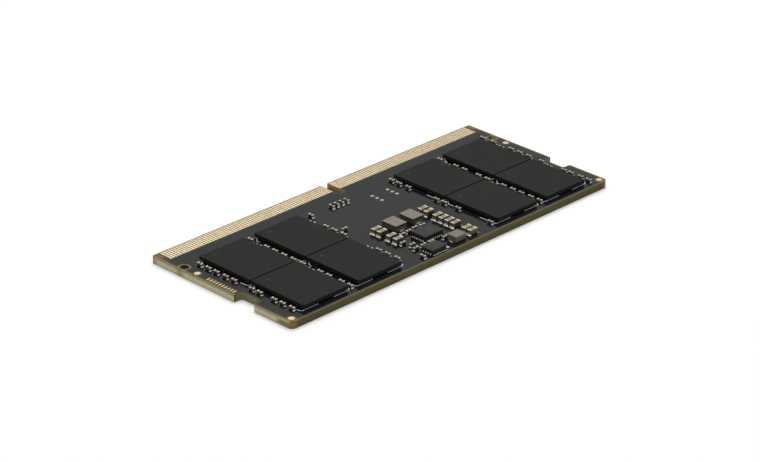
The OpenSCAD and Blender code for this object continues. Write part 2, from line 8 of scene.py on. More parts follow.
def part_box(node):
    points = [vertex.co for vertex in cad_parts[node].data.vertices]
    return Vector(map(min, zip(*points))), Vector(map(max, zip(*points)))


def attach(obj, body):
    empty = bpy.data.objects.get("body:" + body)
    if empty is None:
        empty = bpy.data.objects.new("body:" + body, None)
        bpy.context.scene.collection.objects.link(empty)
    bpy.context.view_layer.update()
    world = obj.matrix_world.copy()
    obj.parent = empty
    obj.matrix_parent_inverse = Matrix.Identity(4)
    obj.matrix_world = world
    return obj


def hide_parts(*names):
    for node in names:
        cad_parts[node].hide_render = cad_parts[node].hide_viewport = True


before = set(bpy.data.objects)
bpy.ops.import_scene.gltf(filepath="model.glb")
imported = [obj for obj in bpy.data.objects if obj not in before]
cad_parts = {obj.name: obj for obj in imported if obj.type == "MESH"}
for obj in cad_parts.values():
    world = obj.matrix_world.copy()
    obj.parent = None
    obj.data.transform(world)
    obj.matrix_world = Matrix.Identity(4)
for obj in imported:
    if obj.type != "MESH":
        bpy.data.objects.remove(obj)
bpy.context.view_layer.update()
MM = 0.001


# Camera. It looks down on the corner between the far long edge and the +X end, from far enough
# away that the board's edges run almost parallel. The shift frames the module as the picture does.
camera_turn, camera_height, camera_roll = np.radians([133.884, 25.655, 0.845])
camera_distance = 437.597 * MM
camera_target = np.array([0.0, 0.0, 0.6 * MM])
film_width = 36.0
picture_width_px = 760.0
focal_length_px = 2842.816
shift_x_px, shift_y_px = -6.690, -10.896
towards_camera = np.array([np.sin(camera_turn) * np.cos(camera_height),
                           -np.cos(camera_turn) * np.cos(camera_height), np.sin(camera_height)])
level_right = np.cross([0.0, 0.0, 1.0], towards_camera)
level_right /= np.linalg.norm(level_right)
level_up = np.cross(towards_camera, level_right)
camera_right = np.cos(camera_roll) * level_right + np.sin(camera_roll) * level_up
camera_up = np.cos(camera_roll) * level_up - np.sin(camera_roll) * level_right
camera_data = bpy.data.cameras.new("camera")
camera_data.sensor_width = film_width
camera_data.lens = film_width * focal_length_px / picture_width_px
camera_data.shift_x = shift_x_px / picture_width_px
camera_data.shift_y = shift_y_px / picture_width_px
camera_data.clip_start = 10.0 * MM
camera = bpy.data.objects.new("camera", camera_data)
pose = np.eye(4)
pose[:3, :3] = np.stack([camera_right, camera_up, towards_camera], axis=1)
pose[:3, 3] = camera_target + towards_camera * camera_distance
camera.matrix_world = Matrix(pose.tolist())
bpy.context.collection.objects.link(camera)
bpy.context.scene.camera = camera
bpy.context.scene.view_settings.view_transform = "Standard"


# Light. A pale sky all round, a large soft lamp overhead and a weaker one high behind the contact
# edge, which gives the gold its sheen. Together they light a level face at a plain level of one.
sky_level = 0.45
sky = bpy.data.worlds.new("sky")
sky.use_nodes = True
sky_nodes, sky_links = sky.node_tree.nodes, sky.node_tree.links
sky_shader = sky_nodes["Background"]
sky_shader.inputs["Color"].default_value = (1.0, 1.0, 1.0, 1.0)
sky_path = sky_nodes.new("ShaderNodeLightPath")
sky_mix = sky_nodes.new("ShaderNodeMapRange")
sky_mix.inputs["To Min"].default_value = sky_level
sky_mix.inputs["To Max"].default_value = 1.0
sky_links.new(sky_path.outputs["Is Camera Ray"], sky_mix.inputs["Value"])
sky_links.new(sky_mix.outputs["Result"], sky_shader.inputs["Strength"])
bpy.context.scene.world = sky


def hang_lamp(name, place, side, power):
    """A square soft lamp at place, turned so that it faces the module's middle."""
    data = bpy.data.lights.new(name, "AREA")
    data.shape = "SQUARE"
    data.size = side
    data.energy = power
    lamp = bpy.data.objects.new(name, data)
    lamp.location = place
    lamp.rotation_euler = Vector(place).to_track_quat("Z", "Y").to_euler()
    bpy.context.collection.objects.link(lamp)


hang_lamp("overhead_lamp", (0.0, 0.0, 0.6), side=0.6, power=1.75)
hang_lamp("rear_lamp", (-0.28, -0.26, 0.55), side=0.35, power=1.3)


def make_material(name, colour, roughness, metallic=0.0, specular=0.5):
    """A material with one Principled shader whose plain values sit on the shader's own sockets."""
    material = bpy.data.materials.new(name)
    material.use_nodes = True
    shader = material.node_tree.nodes["Principled BSDF"]
    shader.inputs["Base Color"].default_value = (*colour, 1.0)
    shader.inputs["Roughness"].default_value = roughness
    shader.inputs["Metallic"].default_value = metallic
    shader.inputs["Specular IOR Level"].default_value = specular
    return material, shader


def add_node(tree, kind, inputs, **settings):
    """One node in a tree. Each input takes a plain value or is linked to another node's output."""
    node = tree.nodes.new(kind)
    for key, value in settings.items():
        setattr(node, key, value)
    for key, value in inputs.items():
        if isinstance(value, bpy.types.NodeSocket):
            tree.links.new(value, node.inputs[key])
        else:
            node.inputs[key].default_value = value
    return node


def paint(red, green, blue):
    """Linear colour of a display colour from 0 to 255: its share of 255 to the power of 2.2."""
    return tuple((np.array([red, green, blue]) / 255.0) ** 2.2)


# Table. A plain white sheet under the module. It keeps the soft shadow round the board's edges,
# and a little light of its own, for the camera only, brings it up to white.
table_half = 4.0
table_drop = 0.02 * MM
table_own_light = 0.08
table_mesh = bpy.data.meshes.new("table")
table_mesh.from_pydata([(-table_half, -table_half, -table_drop), (table_half, -table_half, -table_drop),
                        (table_half, table_half, -table_drop), (-table_half, table_half, -table_drop)],
                       [], [(0, 1, 2, 3)])
table = bpy.data.objects.new("table", table_mesh)
bpy.context.collection.objects.link(table)
table_material, table_shader = make_material("white_table", (0.93, 0.93, 0.925), 0.9, specular=0.0)
table_path = add_node(table_material.node_tree, "ShaderNodeLightPath", {})
table_glow = add_node(table_material.node_tree, "ShaderNodeMapRange",
                      {"Value": table_path.outputs["Is Camera Ray"], "To Max": table_own_light})
table_shader.inputs["Emission Color"].default_value = (1.0, 1.0, 1.0, 1.0)
table_material.node_tree.links.new(table_glow.outputs["Result"], table_shader.inputs["Emission Strength"])
table_mesh.materials.append(table_material)


# Circuit board. Glass cloth and epoxy with a routed outline. The long edges and notches are routed
# smooth and olive, the short ends are broken off a panel and pale with fibres, the bare faces brown.
def grain_group():
    """Soft grain: 3-D noise of the place over the grain size, stretched along each axis, 0 to 1."""
    tree = bpy.data.node_groups.new("grain", "ShaderNodeTree")
    tree.interface.new_socket("Place", in_out="INPUT", socket_type="NodeSocketVector")
    tree.interface.new_socket("Grain size in mm", in_out="INPUT", socket_type="NodeSocketVector")
    tree.interface.new_socket("Contrast", in_out="INPUT", socket_type="NodeSocketFloat")
    tree.interface.new_socket("Grain", in_out="OUTPUT", socket_type="NodeSocketFloat")
    start = tree.nodes.new("NodeGroupInput")
    end = tree.nodes.new("NodeGroupOutput")
    in_mm = add_node(tree, "ShaderNodeVectorMath", {0: start.outputs["Place"], "Scale": 1.0 / MM},
                     operation="SCALE")
    sized = add_node(tree, "ShaderNodeVectorMath",
                     {0: in_mm.outputs["Vector"], 1: start.outputs["Grain size in mm"]}, operation="DIVIDE")
    noise = add_node(tree, "ShaderNodeTexNoise",
                     {"Vector": sized.outputs["Vector"], "Scale": 1.0, "Detail": 2.0})
    low = add_node(tree, "ShaderNodeMath", {0: 0.5, 1: start.outputs["Contrast"]}, operation="SUBTRACT")
    high = add_node(tree, "ShaderNodeMath", {0: 0.5, 1: start.outputs["Contrast"]}, operation="ADD")
    spread = add_node(tree, "ShaderNodeMapRange",
                      {"Value": noise.outputs["Fac"], "From Min": low.outputs["Value"],
                       "From Max": high.outputs["Value"]})
    tree.links.new(spread.outputs["Result"], end.inputs["Grain"])
    return tree


grain_tree = grain_group()


def add_grain(material, size, contrast=0.2, place=None):
    """One grain group in a material. Size is in mm, one number or one for each axis."""
    tree = material.node_tree
    if place is None:
        place = add_node(tree, "ShaderNodeTexCoord", {}).outputs["Object"]
    group = add_node(tree, "ShaderNodeGroup", {}, node_tree=grain_tree)
    tree.links.new(place, group.inputs["Place"])
    group.inputs["Grain size in mm"].default_value = np.broadcast_to(size, 3)
    group.inputs["Contrast"].default_value = contrast
    return group.outputs["Grain"]


def mix_colours(share, first, second):
    """A colour that goes from the first to the second as the share goes from 0 to 1."""
    def full(value):
        return value if isinstance(value, bpy.types.NodeSocket) else (*value, 1.0)
    node = add_node(share.id_data, "ShaderNodeMix", {"Factor": share, 6: full(first), 7: full(second)},
                    data_type="RGBA")
    return node.outputs[2]


def layered(colour, *coats):
    """A colour with other colours laid over it one after the other, each by its own share."""
    for share, coat in coats:
        colour = mix_colours(share, colour, coat)
    return colour


def range_of(value, low, high, out_low=0.0, out_high=1.0):
    """Value carried from the range low to high to the range out_low to out_high, and held there."""
    node = add_node(value.id_data, "ShaderNodeMapRange",
                    {"Value": value, "From Min": low, "From Max": high,
                     "To Min": out_low, "To Max": out_high})
    return node.outputs["Result"]


def math_of(operation, first, second=0.0):
    """One sum, product or other operation on two values, at least one of them a node's output."""
    tree = (first if isinstance(first, bpy.types.NodeSocket) else second).id_data
    node = add_node(tree, "ShaderNodeMath", {0: first, 1: second}, operation=operation)
    return node.outputs["Value"]


def inside_edges(coordinate, limit):
    """How far a point lies inside the nearer of two edges, which lie at plus and minus the limit."""
    return math_of("SUBTRACT", limit, math_of("ABSOLUTE", coordinate))


def distance(first, second):
    """Distance in a plane: the root of the sum of both squares."""
    return math_of("SQRT", math_of("ADD", math_of("MULTIPLY", first, first),
                                   math_of("MULTIPLY", second, second)))


def coordinates(material):
    """The place of a point on the module, then its X, Y and Z, then those of the way its face looks."""
    source = add_node(material.node_tree, "ShaderNodeTexCoord", {}).outputs
    place, facing = (add_node(material.node_tree, "ShaderNodeSeparateXYZ", {0: source[name]}).outputs
                     for name in ("Object", "Normal"))
    return source["Object"], place, facing


def join(output, shader, socket):
    """Links an output to a socket of the shader."""
    output.id_data.links.new(output, shader.inputs[socket])


def add_relief(shader, height, depth):
    """Bumps of a depth in mm where the height goes from 0 to 1."""
    bump = add_node(height.id_data, "ShaderNodeBump",
                    {"Height": height, "Strength": 1.0, "Distance": depth * MM})
    join(bump.outputs["Normal"], shader, "Normal")


def dress(node, material):
    """Gives a CAD node its material."""
    for material_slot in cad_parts[node].material_slots:
        material_slot.material = material


board_low, board_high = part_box("circuit_board")
# The tooling holes, the key notch and the latch notches, as the CAD of the board has them
hole_radius, hole_from_end, hole_from_contact_edge = 0.7 * MM, 0.95 * MM, 6.15 * MM
key_middle, key_half_width, key_depth = -1.25 * MM, 0.7 * MM, 4.0 * MM
latch_notch_depth = 1.5 * MM
laminate, laminate_shader = make_material("laminate", paint(104, 98, 68), 0.62, specular=0.22)
_, laminate_at, laminate_facing = coordinates(laminate)
from_end = inside_edges(laminate_at["X"], board_high[0])
from_side = inside_edges(laminate_at["Y"], board_high[1])
from_corner = distance(from_end, from_side)
from_hole = distance(math_of("SUBTRACT", from_end, hole_from_end),
                     math_of("SUBTRACT", laminate_at["Y"], board_low[1] + hole_from_contact_edge))
depth_below = math_of("SUBTRACT", board_high[2], laminate_at["Z"])
# Painted shade: between the contacts the laminate is painted dark in a narrow channel
long_contacts, short_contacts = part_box("front_contacts_long"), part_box("front_contacts_short")
contacts_low = np.minimum(long_contacts[0], short_contacts[0])
contacts_high = np.maximum(long_contacts[1], short_contacts[1])
channel_fade = 0.05 * MM
channel_shade = math_of("MULTIPLY",
                  range_of(laminate_at["X"], contacts_high[0], contacts_high[0] + channel_fade, 1.0, 0.0),
                  range_of(laminate_at["X"], contacts_low[0] - channel_fade, contacts_low[0]))
channel_shade = math_of("MULTIPLY", channel_shade,
                  range_of(laminate_at["Y"], contacts_high[1], contacts_high[1] + channel_fade, 1.0, 0.0))
# Bare faces: brown, with the square weave of the glass cloth under the epoxy. They are grey olive
# along the sides, paler along the ends and round the tooling holes, and honey coloured at the corners
weave = math_of("MULTIPLY", add_grain(laminate, (0.12, 0.9, 0.3)), add_grain(laminate, (0.9, 0.12, 0.3)))
bare_colour = layered(
    mix_colours(weave, paint(60, 47, 22), paint(100, 82, 42)),
    (range_of(from_side, 0.1 * MM, 0.5 * MM, 0.85, 0.0), paint(92, 89, 72)),
    (range_of(from_end, 0.1 * MM, 0.5 * MM, 0.85, 0.0), paint(116, 108, 78)),
    (range_of(from_corner, 1.4 * MM, 2.4 * MM, 0.6, 0.0), paint(134, 108, 56)),
    (range_of(from_hole, hole_radius + 0.45 * MM, hole_radius + 0.6 * MM, 0.7, 0.0), paint(124, 118, 84)),
    (channel_shade, mix_colours(weave, paint(26, 20, 9), paint(44, 34, 18))))
# Routed walls: olive, in thin level layers of cloth, with a thin paler line along the upper edge
cloth_layers = add_grain(laminate, (0.9, 0.9, 0.075), 0.25)
stains = add_grain(laminate, (1.6, 1.6, 1.0), 0.3)
pale_top_band = range_of(laminate_at["Z"], board_high[2] - 0.2 * MM, board_high[2] - 0.03 * MM)
routed_colour = layered(
    mix_colours(cloth_layers, paint(66, 62, 36), paint(92, 87, 55)),
    (math_of("MULTIPLY", stains, 0.5), paint(98, 84, 44)),
    (math_of("MULTIPLY", pale_top_band, 0.6), paint(108, 104, 84)))
# Broken ends: pale speckled fibres between two olive lips, where the panel was scored and snapped
# off. They stop short of the corner beside the far edge, from where the end is sawn
fibres = add_grain(laminate, (0.2, 0.12, 0.1), 0.2)
specks = add_grain(laminate, (0.5, 0.22, 0.16), 0.2)
ragged = math_of("SUBTRACT", depth_below, range_of(specks, 0, 1, 0.0, 0.12 * MM))
upper_lip = range_of(ragged, 0.2 * MM, 0.3 * MM, 1.0, 0.0)
lower_lip = range_of(ragged, 0.98 * MM, 1.08 * MM)
broken_colour = layered(
    mix_colours(fibres, paint(168, 160, 128), paint(214, 206, 176)),
    (range_of(specks, 0.7, 1.0, 0.0, 0.5), paint(136, 118, 86)),
    (upper_lip, paint(150, 141, 98)),
    (math_of("MULTIPLY", lower_lip, 0.7), paint(128, 124, 92)))
broken_end = math_of("ADD", laminate_at["Y"], range_of(specks, 0, 1, 0.0, 0.5 * MM))
broken_reach = range_of(broken_end, board_high[1] - 3.1 * MM, board_high[1] - 2.2 * MM, 1.0, 0.0)
sawn_colour = layered(
    paint(182, 170, 130),
    (range_of(depth_below, 0.22 * MM, 0.5 * MM),
     mix_colours(cloth_layers, paint(110, 106, 68), paint(136, 131, 94))),
    (range_of(depth_below, 0.85 * MM, 1.15 * MM, 0.0, 0.6), paint(160, 154, 122)))
end_colour = mix_colours(broken_reach, sawn_colour, broken_colour)
on_end = math_of("MULTIPLY", range_of(math_of("ABSOLUTE", laminate_facing["X"]), 0.9, 0.98),
                 range_of(from_end, 0.1 * MM, 0.2 * MM, 1.0, 0.0))
# The latch notches were routed after the panel was cut and are paler and greyer than the long edges
in_notch = math_of("MULTIPLY", range_of(from_end, 0.1 * MM, 0.5 * MM),
                   range_of(from_end, latch_notch_depth + 0.3 * MM, latch_notch_depth + 0.7 * MM, 1.0, 0.0))
in_notch = math_of("MULTIPLY", in_notch, range_of(from_side, 1.0 * MM, 1.5 * MM))
notch_colour = mix_colours(cloth_layers, paint(104, 97, 74), paint(134, 126, 100))
# Painted light: the walls are painted honey coloured at the corners and beside the tooling holes, as
# light through the thin epoxy would turn them. In the key notch the wall is painted honey at the top,
# painted light, and brown at the bottom, painted shade.
corner_light = math_of("MULTIPLY", range_of(from_corner, 0.3 * MM, 1.4 * MM, 0.85, 0.0),
                    range_of(depth_below, 0.1 * MM, 0.45 * MM, 0.35, 1.0))
hole_light = range_of(from_hole, hole_radius + 0.05 * MM, hole_radius + 0.8 * MM, 0.9, 0.0)
from_key = math_of("ABSOLUTE", math_of("SUBTRACT", laminate_at["X"], key_middle))
key_end = board_low[1] + key_depth
in_key = math_of("MULTIPLY",
                 range_of(from_key, key_half_width + 0.1 * MM, key_half_width + 0.3 * MM, 0.9, 0.0),
                 range_of(laminate_at["Y"], key_end + 0.3 * MM, key_end + 0.5 * MM, 1.0, 0.0))
key_light_and_shade = mix_colours(range_of(depth_below, 0.15 * MM, 1.0 * MM), paint(166, 138, 82), paint(82, 64, 32))
# Inside a tooling hole the wall is painted dark, a painted shade, and painted pale where the thin web
# beside the board's end would let light through, a painted light.
hole_wall_light_and_shade = range_of(from_hole, hole_radius + 0.02 * MM, hole_radius + 0.06 * MM, 1.0, 0.0)
web = range_of(from_end, 0.35 * MM, 0.8 * MM, 1.0, 0.0)
wall_colour = layered(
    routed_colour,
    (in_notch, notch_colour),
    (on_end, end_colour),
    (math_of("MAXIMUM", corner_light, hole_light), mix_colours(stains, paint(124, 101, 52), paint(156, 132, 77))),
    (in_key, key_light_and_shade),
    (hole_wall_light_and_shade, mix_colours(web, paint(76, 62, 27), paint(196, 176, 104))))
level_facing = range_of(math_of("ABSOLUTE", laminate_facing["Z"]), 0.6, 0.8)
join(mix_colours(level_facing, wall_colour, bare_colour), laminate_shader, "Base Color")
join(range_of(level_facing, 0, 1, 0.75, 0.5), laminate_shader, "Roughness")
add_relief(laminate_shader, math_of("ADD", math_of("MULTIPLY", cloth_layers, 0.5), fibres), 0.012)
dress("circuit_board", laminate)


# Solder mask. A glossy black lacquer, screened over both faces of the board. It sinks a little
# between the copper tracks, which show through as faint ridges, and it has a fine orange peel.
# At the short ends no copper lies under it, and the brown laminate shows through.
solder_mask, mask_shader = make_material("solder_mask", (0.0055, 0.0058, 0.0062), 0.16, specular=0.45)
mask_place, mask_at, _ = coordinates(solder_mask)


def wavy_lines(direction, lines_per_mm, waver):
    """Lines across one axis: 1 along the crests of a sine of the place, which noise pushes aside by
    the waver, and 0 between them."""
    wave = add_node(solder_mask.node_tree, "ShaderNodeTexWave",
                    {"Vector": mask_place, "Scale": lines_per_mm / MM, "Distortion": waver, "Detail": 1.0},
                    wave_type="BANDS", bands_direction=direction, wave_profile="SIN")
    return range_of(wave.outputs["Fac"], 0.5, 0.75)


peel = add_grain(solder_mask, 0.35, 0.35, mask_place)
cloud = add_grain(solder_mask, 6.0, 0.3, mask_place)
track_area = range_of(add_grain(solder_mask, (5.0, 2.5, 5.0), 0.4, mask_place), 0.42, 0.5)
copper = math_of("ADD", math_of("MULTIPLY", wavy_lines("Y", 0.42, 1.2), track_area),
                 math_of("MULTIPLY", wavy_lines("X", 0.36, 1.6), math_of("SUBTRACT", 1.0, track_area)))
vias_per_mm = 0.55
via_cells = add_node(solder_mask.node_tree, "ShaderNodeTexVoronoi",
                     {"Vector": mask_place, "Scale": vias_per_mm / MM})
vias = range_of(via_cells.outputs["Distance"], 0.09, 0.15, 1.0, 0.0)
mask_rim = range_of(inside_edges(mask_at["X"], board_high[0]), 0.5 * MM, 1.8 * MM, 0.9, 0.0)
mask_colour = mix_colours(copper, (0.0045, 0.0054, 0.0064), (0.0085, 0.0097, 0.011))
join(mix_colours(mask_rim, mask_colour, (0.022, 0.017, 0.008)), mask_shader, "Base Color")
join(range_of(cloud, 0, 1, 0.09, 0.17), mask_shader, "Roughness")
mask_height = math_of("ADD", math_of("MULTIPLY", peel, 0.35), math_of("MULTIPLY", copper, 0.5))
mask_height = math_of("SUBTRACT", mask_height, math_of("MULTIPLY", vias, 0.6))
add_relief(mask_shader, mask_height, 0.004)
dress("solder_mask_front", solder_mask)
dress("solder_mask_back", solder_mask)


# Contacts and gold marks. Hard gold over nickel on copper, slightly rough, with fine wipe marks
# along the way that the module slides into its socket. The alignment discs have a softer gold, the
# test pads a thinner and greyer one, and the bars beside the end a thin brown one.
def gold_plate(name, low, high, wipe_size):
    """A gold material whose colour drifts from low to high, with fine marks of the wipe size in mm."""
    material, shader = make_material(name, high, 0.42, metallic=1.0)
    wipe = add_grain(material, wipe_size, 0.25)
    drift = add_grain(material, (0.5, 0.8, 0.5), 0.3)
    join(mix_colours(drift, low, high), shader, "Base Color")
    join(range_of(wipe, 0, 1, 0.34, 0.5), shader, "Roughness")
    add_relief(shader, wipe, 0.002)
    return material


hard_gold = gold_plate("hard_gold", (0.7, 0.565, 0.35), (0.88, 0.75, 0.515), (0.03, 1.6, 1.0))
soft_gold = gold_plate("soft_gold", (0.6, 0.5, 0.35), (0.72, 0.62, 0.465), (0.09, 0.09, 0.09))
pad_gold = gold_plate("pad_gold", (0.4, 0.38, 0.31), (0.5, 0.475, 0.4), (0.09, 0.09, 0.09))
mark_gold = gold_plate("mark_gold", (0.5, 0.39, 0.24), (0.64, 0.52, 0.34), (0.09, 0.09, 0.09))
for face in ("front", "back"):
    dress(f"{face}_contacts_long", hard_gold)
    dress(f"{face}_contacts_short", hard_gold)
dress("alignment_discs", soft_gold)
dress("test_pads", pad_gold)
dress("edge_bars", mark_gold)


# Printed corner marks. White epoxy ink, screened on the solder mask beside the corners of the
# packages and baked hard. The layer is thin and a little uneven.
def grained_material(name, low, high, grain_size, contrast, depth, roughness, metallic=0.0, specular=0.5):
    """A material whose colour goes from low to high with a grain of that size in mm, and which
    stands up by the depth in mm where the grain is high. It comes with its shader and its grain."""
    material, shader = make_material(name, high, roughness, metallic, specular)
    grain = add_grain(material, grain_size, contrast)
    join(mix_colours(grain, low, high), shader, "Base Color")
    add_relief(shader, grain, depth)
    return material, shader, grain


ink = grained_material("white_ink", paint(170, 170, 167), paint(218, 218, 214),
                       grain_size=0.12, contrast=0.3, depth=0.004, roughness=0.6, specular=0.3)[0]
dress("printed_brackets", ink)


# Packages. Black moulding compound with a fine matt texture on top, sawn square at the sides, where
# the blade leaves faint upright lines. Under it lies a thin dark laminate substrate.
def mould_compound(name, low, high, side_low, side_high, foot, top):
    """A moulding compound whose upward faces go from low to high in slow clouds, with a finer darker
    mottle and pale specks of filler. Its sides go from the side colours near the top to a painted
    shade, darker from the foot up."""
    material, shader = make_material(name, high, 0.68, specular=0.14)
    place, at, facing = coordinates(material)
    filler = add_grain(material, 0.045, 0.3, place)
    haze = add_grain(material, 2.4, 0.25, place)
    saw_lines = add_grain(material, (0.05, 0.05, 0.8), 0.25, place)
    mottle = add_grain(material, 0.32, 0.3, place)
    # The floor of the dimple that marks the first ball is smoother and has a faint brown tinge
    in_dimple = math_of("MULTIPLY", range_of(at["Z"], top - 0.05 * MM, top - 0.04 * MM),
                        range_of(at["Z"], top - 0.02 * MM, top - 0.01 * MM, 1.0, 0.0))
    up_colour = layered(
        mix_colours(haze, low, high),
        (range_of(mottle, 0.3, 0.7, 0.0, 0.6), tuple(0.72 * np.array(low))),
        (math_of("MULTIPLY", filler, 0.3), tuple(2.1 * np.array(high))),
        (in_dimple, paint(58, 51, 46)))
    # Painted shade: the sides darken from the top towards the foot
    side_colour = mix_colours(range_of(at["Z"], foot, top, 0.8, 0.0),
                              mix_colours(saw_lines, side_low, side_high), tuple(0.35 * np.array(side_low)))
    facing_up = range_of(facing["Z"], 0.6, 0.8)
    join(mix_colours(facing_up, side_colour, up_colour), shader, "Base Color")
    join(range_of(filler, 0, 1, 0.55, 0.72), shader, "Roughness")
    add_relief(shader, math_of("ADD", filler, math_of("MULTIPLY", saw_lines, 0.6)), 0.005)
    return material


package_low, package_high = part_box("dram_package_1")
compound = mould_compound("moulding_compound", paint(29, 29, 29), paint(35, 33, 31), paint(36, 36, 38),
                          paint(50, 50, 52), package_low[2], package_high[2])
for package in range(1, 9):
    dress(f"dram_package_{package}", compound)

substrate = grained_material(
    "package_substrate", paint(22, 24, 20), paint(44, 45, 36),
    grain_size=(0.4, 0.4, 0.03), contrast=0.25, depth=0.006, roughness=0.5, specular=0.3)[0]
dress("package_substrates", substrate)


# Solder balls. Tin alloy, melted between each package and the board, so each is a squat barrel
# that narrows to its pads above and below. The balls are painted dark, a painted shade for the gap
# under the packages. Spare pads on the board have a bright coat of the same alloy.
def solid_boxes(node):
    """Low and high corners of each separate solid of a CAD node. Triangles that share a corner
    take the lowest label among their corners, again and again, until no label changes."""
    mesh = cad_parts[node].data
    points = np.empty(len(mesh.vertices) * 3)
    mesh.vertices.foreach_get("co", points)
    corners = np.empty(len(mesh.loops), dtype=np.int64)
    mesh.loops.foreach_get("vertex_index", corners)
    places, shared = np.unique(np.round(points.reshape(-1, 3), 7), axis=0, return_inverse=True)
    triangles = shared.ravel()[corners].reshape(-1, 3)
    labels = np.arange(len(places))
    while True:
        lowest = labels[triangles].min(axis=1)
        spread = labels.copy()
        np.minimum.at(spread, triangles.ravel(), np.repeat(lowest, 3))
        spread = spread[spread]
        if np.array_equal(spread, labels):
            break
        labels = spread
    groups, member = np.unique(labels, return_inverse=True)
    low = np.full((len(groups), 3), np.inf)
    high = np.full((len(groups), 3), -np.inf)
    np.minimum.at(low, member.ravel(), places)
    np.maximum.at(high, member.ravel(), places)
    return low, high


def rounded_outline(half_width, half_height, corner, inset, steps):
    """Points round a rectangle with round corners. Each corner's middle lies a corner radius in
    from both sides, and its points turn by 90 degrees at a radius that the inset makes smaller."""
    angle = np.concatenate([np.linspace(0, 90, steps) + 90 * turn for turn in range(4)])
    side_y = np.sign(np.cos(np.radians(45 + 90 * np.repeat(np.arange(4), steps))))
    side_z = np.sign(np.sin(np.radians(45 + 90 * np.repeat(np.arange(4), steps))))
    middle = max(corner, inset)
    radius = max(corner - inset, 0.0)
    return np.stack([side_y * (half_width - middle) + radius * np.cos(np.radians(angle)),
                     side_z * (half_height - middle) + radius * np.sin(np.radians(angle))], axis=1)


def tube_faces(count, around):
    """Faces of a closed tube of count rings with so many points around: quads between each two rings,
    and a fan over each end round one of the two middles, which follow the rings' points."""
    ring, step = np.meshgrid(np.arange(count - 1), np.arange(around), indexing="ij")
    after = (step + 1) % around
    walls = np.stack([ring * around + step, ring * around + after,
                      (ring + 1) * around + after, (ring + 1) * around + step], axis=-1).reshape(-1, 4)
    step = np.arange(around)
    after = (step + 1) % around
    last = (count - 1) * around
    first_end = np.stack([np.full(around, count * around), after, step], axis=1)
    second_end = np.stack([np.full(around, count * around + 1), last + step, last + after], axis=1)
    return [walls, np.concatenate([first_end, second_end])]


def carried_profile(profile, half_width, half_height, corner, steps=2):
    """A closed solid along X: the rounded outline, drawn in by each inset of the profile at its
    place along X, with a fan over both ends."""
    rings = np.array([
        np.insert(rounded_outline(half_width, half_height, corner, inset, steps), 0, along, axis=1)
        for inset, along in profile])
    middles = [[profile[0][1], 0, 0], [profile[-1][1], 0, 0]]
    return np.concatenate([rings.reshape(-1, 3), middles]), tube_faces(*rings.shape[:2])


def upright(points):
    """The same points with their X axis turned up to Z, their Y to X and their Z to Y."""
    return points[:, [1, 2, 0]]


def copies(points, faces, places, turns):
    """One copy of a shape at each place, turned about Z by its angle in degrees."""
    cos, sin = np.cos(np.radians(turns))[:, None], np.sin(np.radians(turns))[:, None]
    x = points[None, :, 0] * cos - points[None, :, 1] * sin + places[:, 0:1]
    y = points[None, :, 0] * sin + points[None, :, 1] * cos + places[:, 1:2]
    z = points[None, :, 2] + places[:, 2:3]
    starts = np.arange(len(places))[:, None, None] * len(points)
    return np.stack([x, y, z], axis=-1).reshape(-1, 3), [
        (group[None] + starts).reshape(-1, group.shape[1]) for group in faces]


def joined(shapes):
    """Several shapes as one list of points and faces."""
    points, faces, start = [], [], 0
    for shape_points, shape_faces in shapes:
        points.append(shape_points)
        faces.extend(group + start for group in shape_faces)
        start += len(shape_points)
    return np.concatenate(points), faces


def make_piece(name, shape, material, replaced, sharp_angle=38.0):
    """Adds a piece of the module from points in mm and faces. It rides on the module's one body and
    stands for the CAD nodes that it replaces. Edges sharper than the angle stay sharp."""
    points, faces = shape
    mesh = bpy.data.meshes.new(name)
    mesh.from_pydata((points * MM).tolist(), [], [face for group in faces for face in group.tolist()])
    mesh.polygons.foreach_set("use_smooth", np.ones(len(mesh.polygons), dtype=bool))
    mesh.set_sharp_from_angle(angle=np.radians(sharp_angle))
    mesh.materials.append(material)
    piece = bpy.data.objects.new(name, mesh)
    bpy.context.collection.objects.link(piece)
    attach(piece, "root")
    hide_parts(*replaced)


solder, solder_shader, solder_cloud = grained_material(
    "bright_solder", (0.46, 0.435, 0.385), (0.87, 0.85, 0.8),
    grain_size=0.16, contrast=0.2, depth=0.006, roughness=0.3, metallic=0.8)
join(range_of(solder_cloud, 0, 1, 0.42, 0.2), solder_shader, "Roughness")
# Painted shade: the balls take this darker copy of the bright solder
shaded_solder = grained_material("shaded_solder", (0.2, 0.2, 0.19), (0.38, 0.38, 0.37),
                                 grain_size=0.1, contrast=0.3, depth=0.006, roughness=0.5, metallic=0.6)[0]
ball_low, ball_high = (corners / MM for corners in solid_boxes("solder_balls"))
ball_radius = (ball_high[0, 0] - ball_low[0, 0]) / 2
ball_height = ball_high[0, 2] - ball_low[0, 2]
pad_share = 0.72
ball_rise = np.linspace(-1, 1, 5)
ball_inset = ball_radius * (1 - np.sqrt(1 - ball_rise ** 2 * (1 - pad_share ** 2)))
ball_points, ball_faces = carried_profile(list(zip(ball_inset, (ball_rise + 1) / 2 * ball_height)),
                                          ball_radius, ball_radius, ball_radius)
ball_places = np.stack([(ball_low[:, 0] + ball_high[:, 0]) / 2, (ball_low[:, 1] + ball_high[:, 1]) / 2,
                        ball_low[:, 2]], axis=1)
balls = copies(upright(ball_points), ball_faces, ball_places, np.zeros(len(ball_places)))
make_piece("package_solder_balls", balls, shaded_solder, ["solder_balls"])
dress("spare_pads", solder)


